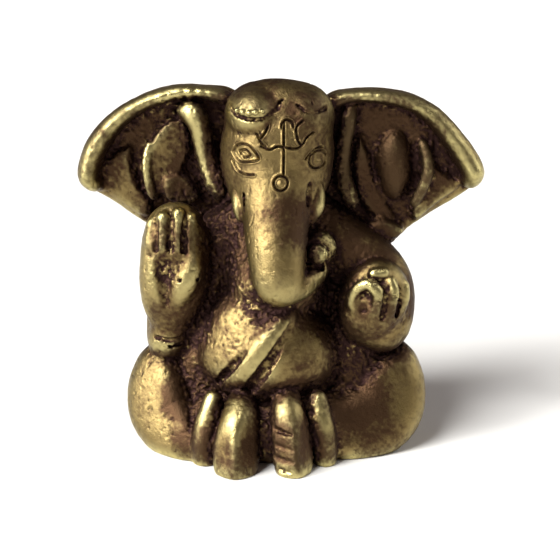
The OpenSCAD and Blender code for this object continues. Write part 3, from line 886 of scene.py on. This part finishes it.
def shelter(kind):
    spec = wear[kind]
    metal = readField(crowding(spec["window"]), places + normals * spec["out"])
    return np.clip((metal - spec["from"]) / spec["span"], 0, 1)


def spread(spots):
    out = np.zeros(len(places))
    for node, rows in spots.items():
        for x, y, z, radius, amount in rows:
            away = np.linalg.norm(places - middleOf(node) - (x, y, z), axis=1) / radius
            out = np.maximum(out, amount * np.clip(wear["fade"] * (1 - away * away), 0, 1))
    return out


normals = normalsOf(places, rings[ringOutside])
creased, hollowed, pocketPatinaAndShade = shelter("creased"), shelter("hollowed"), shelter("pocketPatinaAndShade")
metal = readField(crowding(wear["rubbed"]["window"]), places)
rubbed = np.clip((wear["rubbed"]["most"] - metal) / wear["rubbed"]["span"], 0, 1)
inCrease, inHollow, inPocket = wear["shares"]
# soot in the hollows; its pocket share and the left leg's rough spot are partly painted shade
hollow = np.clip(inCrease * creased + inHollow * hollowed + inPocket * pocketPatinaAndShade + spread(rough), 0, 1)
# the spots of painted shade are added to the pockets' brown
pocketPatinaAndShade = np.clip(pocketPatinaAndShade + spread(paintedShade), 0, 1)
print("hollows read")

# the casting skin: coarse in the hollows, where no file or finger reached, and finer on the rounds.
# Heights and sizes are in millimetres, and a finer layer is given as shares of the height and the size
castSkin = {
    "coarse": 0.21, "coarseGrain": 0.42, "coarseFiner": (0.6, 0.6),     # in the hollows
    "fine": 0.02, "fineGrain": 0.5,                                     # on the open surface
    "dents": 0.049, "dentSize": 2.6, "dentsFiner": (0.4, 0.45),         # left by the fingers in the wax
    "pits": 0.07, "pitSize": 0.5, "pitsFrom": 0.6, "pitsSpan": 0.2,     # gas pits
    "pitCrowd": 5.0, "pitCrowding": 0.2,                                # they lie in loose crowds
    "pitSoot": 0.5,          # how much soot a pit holds
    "peakOpen": 0.2,         # share of the coarse grain that still shows on the open surface
    "smoothBelow": 0.3,      # the filed underside has none up to this height
}
height, size = castSkin["coarseFiner"]
coarse = (grain(places, castSkin["coarseGrain"], 3)
          + height * grain(places, castSkin["coarseGrain"] * size, 4))
height, size = castSkin["dentsFiner"]
dents = grain(places, castSkin["dentSize"], 5) + height * grain(places, castSkin["dentSize"] * size, 8)
pits = (grain(places, castSkin["pitSize"], 7)
        + castSkin["pitCrowding"] * grain(places, castSkin["pitCrowd"], 9))
pits = np.clip((pits - castSkin["pitsFrom"]) / castSkin["pitsSpan"], 0, 1)
lift = (castSkin["coarse"] * hollow * coarse + castSkin["dents"] * dents
        + castSkin["fine"] * grain(places, castSkin["fineGrain"], 6) - castSkin["pits"] * pits)
lift[~onSkin | (places[:, 2] < castSkin["smoothBelow"])] = 0
places = places + normals * lift[:, None]
places[:, 2] = np.maximum(places[:, 2], 0)
normals = normalsOf(places, rings[ringOutside])
print("casting skin raised")

# what the brass reads at each point of the skin
finish = {
    "hollow": np.clip(hollow + castSkin["pitSoot"] * pits, 0, 1),
    # the brown: patina in the pockets, with painted shade under the head and ears and in the marked spots
    "patinaAndPaintedShade": pocketPatinaAndShade,
    "rubbed": rubbed,
    "peak": coarse * (castSkin["peakOpen"] + (1 - castSkin["peakOpen"]) * hollow),
}


# an sRGB hex colour as the linear one that a shader wants
def linear(code):
    out = []
    for i in (0, 2, 4):
        v = int(code[i:i + 2], 16) / 255
        out.append(v / 12.92 if v <= 0.04045 else ((v + 0.055) / 1.055) ** 2.4)
    return (*out, 1)


# adds a node with its settings, values and links; a link is (socket, other node, other socket)
def addNode(tree, kind, settings=None, values=None, links=()):
    node = tree.nodes.new(kind)
    for key, value in (settings or {}).items():
        setattr(node, key, value)
    for key, value in (values or {}).items():
        node.inputs[key].default_value = value
    for key, other, out in links:
        tree.links.new(other.outputs[out], node.inputs[key])
    return node


# lost-wax cast brass, filed here and there and then handled for years: olive-gold with a dull sheen where
# hands reach, brown where they seldom do, brown as painted shade in the pockets and the marked spots, and
# brown-black polish and soot in the grain of the hollows
brassLook = {
    "rubbed": "C3B67C",
    "aged": "87744A",
    "brown": "402B20",
    "soot": "352421",
    "roughRubbed": 0.27,
    "roughAged": 0.36,
    "roughBrown": 0.5,
    "roughSoot": 0.6,
    "grainMm": 0.24,               # sand grain; the real one is finer, drawn this coarse to show
    "grainDepthMm": 0.1,
    "grainStrength": 0.7,
    "blotchMm": 3.0,               # uneven patches, some browner and some brighter
    "sootInGrain": 2.2,            # how far the fine grain frays the edge of the soot
    "sootOffPeaks": 0.75,          # how far the coarse grain stands clear of it
    "sootRange": (-0.72, -0.08),   # from where it begins to where it covers
    "brownInBlotch": 1.1,
    "brownOffPeaks": 0.6,
    "brownRange": (0.45, 1.05),
    "brownMost": 0.92,
    "shineInBlotch": 0.5,
    "shineRange": (0.2, 1.1),
}


def castBrass():
    look = brassLook
    material = bpy.data.materials.new("agedCastBrass")
    material.use_nodes = True
    tree = material.node_tree
    tree.nodes.clear()
    place = addNode(tree, "ShaderNodeTexCoord")
    skinAt = {key: addNode(tree, "ShaderNodeAttribute", {"attribute_name": key}) for key in finish}
    fine = addNode(tree, "ShaderNodeTexNoise", {},
                   {"Scale": 1 / (look["grainMm"] * mm), "Detail": 4.0, "Roughness": 0.65},
                   [("Vector", place, "Object")])
    blotch = addNode(tree, "ShaderNodeTexNoise", {},
                     {"Scale": 1 / (look["blotchMm"] * mm), "Detail": 6.0, "Roughness": 0.7,
                      "Distortion": 0.5},
                     [("Vector", place, "Object")])
    # soot fills the valleys of the grain first, so its edge is ragged and bright specks stand out of it
    valley = addNode(tree, "ShaderNodeMath", {"operation": "MULTIPLY_ADD"}, {1: -look["sootOffPeaks"]},
                     [(0, skinAt["peak"], "Fac"), (2, skinAt["hollow"], "Fac")])
    ragged = addNode(tree, "ShaderNodeMath", {"operation": "MULTIPLY_ADD"}, {1: -look["sootInGrain"]},
                     [(0, fine, "Fac"), (2, valley, "Value")])
    soot = addNode(tree, "ShaderNodeMapRange", {"interpolation_type": "SMOOTHSTEP"},
                   {"From Min": look["sootRange"][0], "From Max": look["sootRange"][1]},
                   [("Value", ragged, "Value")])
    # brown gathers in blotches where hands seldom reach, and as painted shade in the pockets and the
    # marked spots
    patch = addNode(tree, "ShaderNodeMath", {"operation": "MULTIPLY_ADD"}, {1: look["brownInBlotch"]},
                    [(0, blotch, "Fac"), (2, skinAt["patinaAndPaintedShade"], "Fac")])
    patch = addNode(tree, "ShaderNodeMath", {"operation": "MULTIPLY_ADD"}, {1: -look["brownOffPeaks"]},
                    [(0, skinAt["peak"], "Fac"), (2, patch, "Value")])
    brown = addNode(tree, "ShaderNodeMapRange", {"interpolation_type": "SMOOTHSTEP"},
                    {"From Min": look["brownRange"][0], "From Max": look["brownRange"][1],
                     "To Max": look["brownMost"]},
                    [("Value", patch, "Value")])
    shine = addNode(tree, "ShaderNodeMath", {"operation": "MULTIPLY_ADD"}, {1: look["shineInBlotch"]},
                    [(0, blotch, "Fac"), (2, skinAt["rubbed"], "Fac")])
    bright = addNode(tree, "ShaderNodeMapRange", {"interpolation_type": "SMOOTHSTEP"},
                     {"From Min": look["shineRange"][0], "From Max": look["shineRange"][1]},
                     [("Value", shine, "Value")])
    base = addNode(tree, "ShaderNodeMix", {"data_type": "RGBA"},
                   {6: linear(look["aged"]), 7: linear(look["rubbed"])}, [(0, bright, "Result")])
    browned = addNode(tree, "ShaderNodeMix", {"data_type": "RGBA"}, {7: linear(look["brown"])},
                      [(0, brown, "Result"), (6, base, 2)])
    sooted = addNode(tree, "ShaderNodeMix", {"data_type": "RGBA"}, {7: linear(look["soot"])},
                     [(0, soot, "Result"), (6, browned, 2)])
    dull = addNode(tree, "ShaderNodeMapRange", {},
                   {"To Min": look["roughAged"], "To Max": look["roughRubbed"]},
                   [("Value", bright, "Result")])
    duller = addNode(tree, "ShaderNodeMix", {"data_type": "FLOAT"}, {3: look["roughBrown"]},
                     [(0, brown, "Result"), (2, dull, "Result")])
    dullest = addNode(tree, "ShaderNodeMix", {"data_type": "FLOAT"}, {3: look["roughSoot"]},
                      [(0, soot, "Result"), (2, duller, 0)])
    bump = addNode(tree, "ShaderNodeBump", {},
                   {"Strength": look["grainStrength"], "Distance": look["grainDepthMm"] * mm},
                   [("Height", fine, "Fac")])
    skin = addNode(tree, "ShaderNodeBsdfPrincipled", {}, {"Metallic": 1.0},
                   [("Base Color", sooted, 2), ("Roughness", dullest, 0), ("Normal", bump, "Normal")])
    addNode(tree, "ShaderNodeOutputMaterial", {}, {}, [("Surface", skin, "BSDF")])
    return material


brass = castBrass()

# lines cut in the brow and round the eyes after casting, each a run of (x, z) seen from the front and
# measured from the middle of the head's box; a ring is x, z and radius
engraving = {
    "width": 0.15,        # half the width of the cut
    "burr": 0.35,         # metal thrown up along each side, as a share of the depth
    "burrAway": 1.8,      # how far from the middle of the cut it lies, in half widths
    "burrWide": 0.7,
    "sootSpill": 1.3,     # how far the polish left in the cut runs over its edge
    "marks": [
        {"depth": 0.3, "soot": 0.9,       # on the brow
         "lines": [
             [(-1.8, 8.0), (-1.6, 6.6), (-2.5, 5.2)],
             [(-2.4, 4.3), (-1.3, 3.9), (-0.2, 4.3), (1.7, 4.0), (2.8, 4.3), (3.5, 5.3), (4.7, 6.1),
              (5.3, 6.0)],
             [(3.1, 7.5), (2.1, 6.6), (2.3, 5.0), (2.8, 4.3)],
             [(0.5, 7.4), (0.5, 3.7), (0.45, 0.6)],
             [(0.2, 6.7), (0.3, 7.2), (0.8, 7.6), (1.5, 7.3), (1.7, 6.7)],
         ],
         "rings": [(0.1, -0.3, 0.9)]},
        {"depth": 0.26, "soot": 0.8,      # the eyes
         "lines": [
             [(-5.2, 6.5), (-4.3, 6.7), (-3.1, 6.0), (-2.5, 4.9), (-1.8, 4.2)],
             [(-6.1, 3.1), (-5.5, 4.1), (-4.4, 4.4), (-3.5, 3.9), (-2.7, 2.7), (-3.9, 2.2), (-5.3, 2.1),
              (-6.1, 3.1)],
             [(-5.2, 3.4), (-4.4, 3.7), (-3.8, 3.1), (-4.6, 2.7), (-5.2, 3.4)],
             [(-6.1, 1.9), (-5.5, 0.8), (-4.4, 0.5), (-3.4, 0.6)],
             [(3.3, 2.5), (3.9, 3.2), (4.8, 3.7), (5.4, 3.7)],
         ],
         "rings": [(4.9, 2.2, 1.15)]},
    ],
    "beads": [(0.1, -0.3, 0.5, 0.25), (5.0, 1.8, 0.55, 0.25)],    # x, z, radius and height
    "finer": 2,           # cuts across each face of the skin there
    "least": 0.002,       # the least lift that a finer skin is worth
    "margin": 0.6,        # clear space round the marks
    "facing": 0.3,        # how squarely a face must look forward to be marked
}


# how far the marks push the skin out or in at each spot, and how dark they leave it
def engravedLift(spots):
    x, z = (spots - middleOf("head"))[:, [0, 2]].T
    width = engraving["width"]
    lift, dark = np.zeros(len(x)), np.zeros(len(x))
    for marks in engraving["marks"]:
        far = np.full(len(x), np.inf)
        for line in marks["lines"]:
            line = bend(line, fine=4)
            for start, end in zip(line, line[1:]):
                far = np.minimum(far, farFromRun(x, z, start, end))
        for ringX, ringZ, radius in marks["rings"]:
            far = np.minimum(far, np.abs(np.hypot(x - ringX, z - ringZ) - radius))
        cut = -marks["depth"] * np.clip(1 - (far / width) ** 2, 0, 1)
        offBurr = (far - engraving["burrAway"] * width) / (engraving["burrWide"] * width)
        burr = marks["depth"] * engraving["burr"] * np.exp(-offBurr ** 2)
        lift = np.where(cut < 0, np.minimum(lift, cut), lift + burr)
        dark = np.maximum(dark, marks["soot"] * np.clip(engraving["sootSpill"] - far / width, 0, 1))
    for beadX, beadZ, radius, height in engraving["beads"]:
        lift += height * np.clip(1 - (np.hypot(x - beadX, z - beadZ) / radius) ** 2, 0, 1)
    return lift, dark


# cuts the marks into a finished piece: the skin is made finer round them, then pushed in
def engrave(mesh):
    work = bmesh.new()
    work.from_mesh(mesh)
    work.normal_update()
    xs = [x for marks in engraving["marks"] for line in marks["lines"] for x, z in line]
    zs = [z for marks in engraving["marks"] for line in marks["lines"] for x, z in line]
    zs += [z - radius for marks in engraving["marks"] for x, z, radius in marks["rings"]]
    margin, brow = engraving["margin"], middleOf("head")
    lowX, highX = brow[0] + min(xs) - margin, brow[0] + max(xs) + margin
    lowZ, highZ = brow[2] + min(zs) - margin, brow[2] + max(zs) + margin

    def marked(place, normal):
        inside = lowX < place.x / mm < highX and lowZ < place.z / mm < highZ
        return inside and normal.y < -engraving["facing"]

    chosen = [f for f in work.faces if marked(f.calc_center_median(), f.normal)]
    lift, dark = engravedLift(np.array([f.calc_center_median()[:] for f in chosen]) / mm)
    edges = {e for f, amount in zip(chosen, np.abs(lift)) if amount > engraving["least"] for e in f.edges}
    bmesh.ops.subdivide_edges(work, edges=list(edges), cuts=engraving["finer"], use_grid_fill=True)
    work.normal_update()
    verts = [v for v in work.verts if marked(v.co, v.normal)]
    lift, dark = engravedLift(np.array([v.co[:] for v in verts]) / mm)
    key = work.verts.layers.float["hollow"]
    for v, up, soot in zip(verts, lift, dark):
        v.co += v.normal * float(up) * mm
        v[key] = max(v[key], float(soot))
    work.to_mesh(mesh)
    work.free()


# shades each corner by the skin's own slope, so the seams between sections don't show
def shadeSkin(mesh):
    count, corners, sides = len(mesh.vertices), len(mesh.loops), len(mesh.polygons)
    corner, run = np.zeros(corners, np.int32), np.zeros(sides, np.int32)
    flat, area, outside = np.zeros(sides * 3), np.zeros(sides), np.zeros(sides)
    seamSlope = np.zeros(count * 3)
    mesh.loops.foreach_get("vertex_index", corner)
    mesh.polygons.foreach_get("loop_total", run)
    mesh.polygons.foreach_get("normal", flat)
    mesh.polygons.foreach_get("area", area)
    mesh.attributes["outside"].data.foreach_get("value", outside)
    mesh.attributes["slope"].data.foreach_get("vector", seamSlope)
    flat, seamSlope = flat.reshape(-1, 3), seamSlope.reshape(-1, 3)
    side = np.repeat(np.arange(sides), run)
    shown = outside[side] > 0.5
    push = shown * area[side]
    slopes = np.stack([np.bincount(corner, push * flat[side, i], count) for i in range(3)], axis=1)
    slopes /= np.maximum(np.linalg.norm(slopes, axis=1), 1e-18)[:, None]
    seam = np.bincount(corner, ~shown, count) > 0
    slopes[seam] = seamSlope[seam]
    mesh.normals_split_custom_set(np.where(shown[:, None], slopes[corner], flat[side]))
    mesh.attributes.remove(mesh.attributes["slope"])
    mesh.attributes.remove(mesh.attributes["outside"])


def makePiece(number, name):
    mine = ringPart == number
    faces, outside = rings[mine], ringOutside[mine]
    used, local = np.unique(faces, return_inverse=True)
    mesh = bpy.data.meshes.new(name + "Skin")
    mesh.vertices.add(len(used))
    mesh.vertices.foreach_set("co", (places[used] * mm).astype(np.float32).ravel())
    mesh.loops.add(faces.size)
    mesh.loops.foreach_set("vertex_index", local.astype(np.int32).ravel())
    mesh.polygons.add(len(faces))
    mesh.polygons.foreach_set("loop_start", np.arange(0, faces.size, 4, dtype=np.int32))
    mesh.update(calc_edges=True)
    mesh.shade_smooth()
    for key, values in finish.items():
        readAt = mesh.attributes.new(key, "FLOAT", "POINT")
        readAt.data.foreach_set("value", values[used].astype(np.float32))
    outsideAt = mesh.attributes.new("outside", "FLOAT", "FACE")
    outsideAt.data.foreach_set("value", outside.astype(np.float32))
    slopeAt = mesh.attributes.new("slope", "FLOAT_VECTOR", "POINT")
    slopeAt.data.foreach_set("vector", normals[used].astype(np.float32).ravel())
    mesh.materials.append(brass)
    if name == "head":
        engrave(mesh)
    shadeSkin(mesh)
    piece = bpy.data.objects.new(name + "Piece", mesh)
    bpy.context.scene.collection.objects.link(piece)
    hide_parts(name)
    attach(piece, "root")


for number, name in enumerate(sections, 1):
    makePiece(number, name)
print("pieces", len(sections))

# the room: a matt white floor and three big soft lamps, each named by the way it comes from
studio = {
    "lens": 85, "elevation": 17,
    "distance": 181, "lookAt": (-0.1, 1.8, -2.4),     # mm, the second from the idol's middle
    "nearest": 0.01,                                  # metres, where the camera's view begins
    "floor": "E6E5E1", "floorRough": 0.85, "floorAcross": 12,
    "lamps": {
        "keyLamp": {"from": (-0.6, -0.5, 0.9), "angle": 30, "strength": 4.2},
        "sideLamp": {"from": (-0.9, -0.45, 0.35), "angle": 20, "strength": 3.4},
        "rimLamp": {"from": (0.95, 0.2, 0.5), "angle": 40, "strength": 1.0},
    },
    "room": 0.13, "roomTint": "F0DAD8",
}


def paleFloor():
    mesh = bpy.data.meshes.new("paleFloor")
    half = studio["floorAcross"] / 2
    corners = [(-half, -half, 0), (half, -half, 0), (half, half, 0), (-half, half, 0)]
    mesh.from_pydata(corners, [], [(0, 1, 2, 3)])
    material = bpy.data.materials.new("mattWhitePaint")
    material.use_nodes = True
    shader = material.node_tree.nodes["Principled BSDF"]
    shader.inputs["Base Color"].default_value = linear(studio["floor"])
    shader.inputs["Roughness"].default_value = studio["floorRough"]
    mesh.materials.append(material)
    floor = bpy.data.objects.new("paleFloor", mesh)
    bpy.context.scene.collection.objects.link(floor)


def softLamp(name, spec):
    light = bpy.data.lights.new(name, "SUN")
    light.angle = math.radians(spec["angle"])
    light.energy = spec["strength"]
    lamp = bpy.data.objects.new(name, light)
    lamp.rotation_euler = (-Vector(spec["from"])).to_track_quat("-Z", "Y").to_euler()
    bpy.context.scene.collection.objects.link(lamp)


def dimRoom():
    world = bpy.data.worlds.new("dimRoom")
    world.use_nodes = True
    background = world.node_tree.nodes["Background"]
    background.inputs["Color"].default_value = linear(studio["roomTint"])
    background.inputs["Strength"].default_value = studio["room"]
    bpy.context.scene.world = world


def studioCamera():
    target = Vector((wholeLow + wholeHigh) / 2) + Vector(studio["lookAt"]) * mm
    tilt = math.radians(studio["elevation"])
    lens = bpy.data.cameras.new("studioCamera")
    lens.lens = studio["lens"]
    lens.clip_start = studio["nearest"]
    camera = bpy.data.objects.new("studioCamera", lens)
    camera.location = target + Vector((0, -math.cos(tilt), math.sin(tilt))) * studio["distance"] * mm
    camera.rotation_euler = (target - camera.location).to_track_quat("-Z", "Y").to_euler()
    bpy.context.scene.collection.objects.link(camera)
    bpy.context.scene.camera = camera


paleFloor()
for name, spec in studio["lamps"].items():
    softLamp(name, spec)
dimRoom()
studioCamera()
bpy.context.scene.view_settings.view_transform = "Standard"
print("studio set")
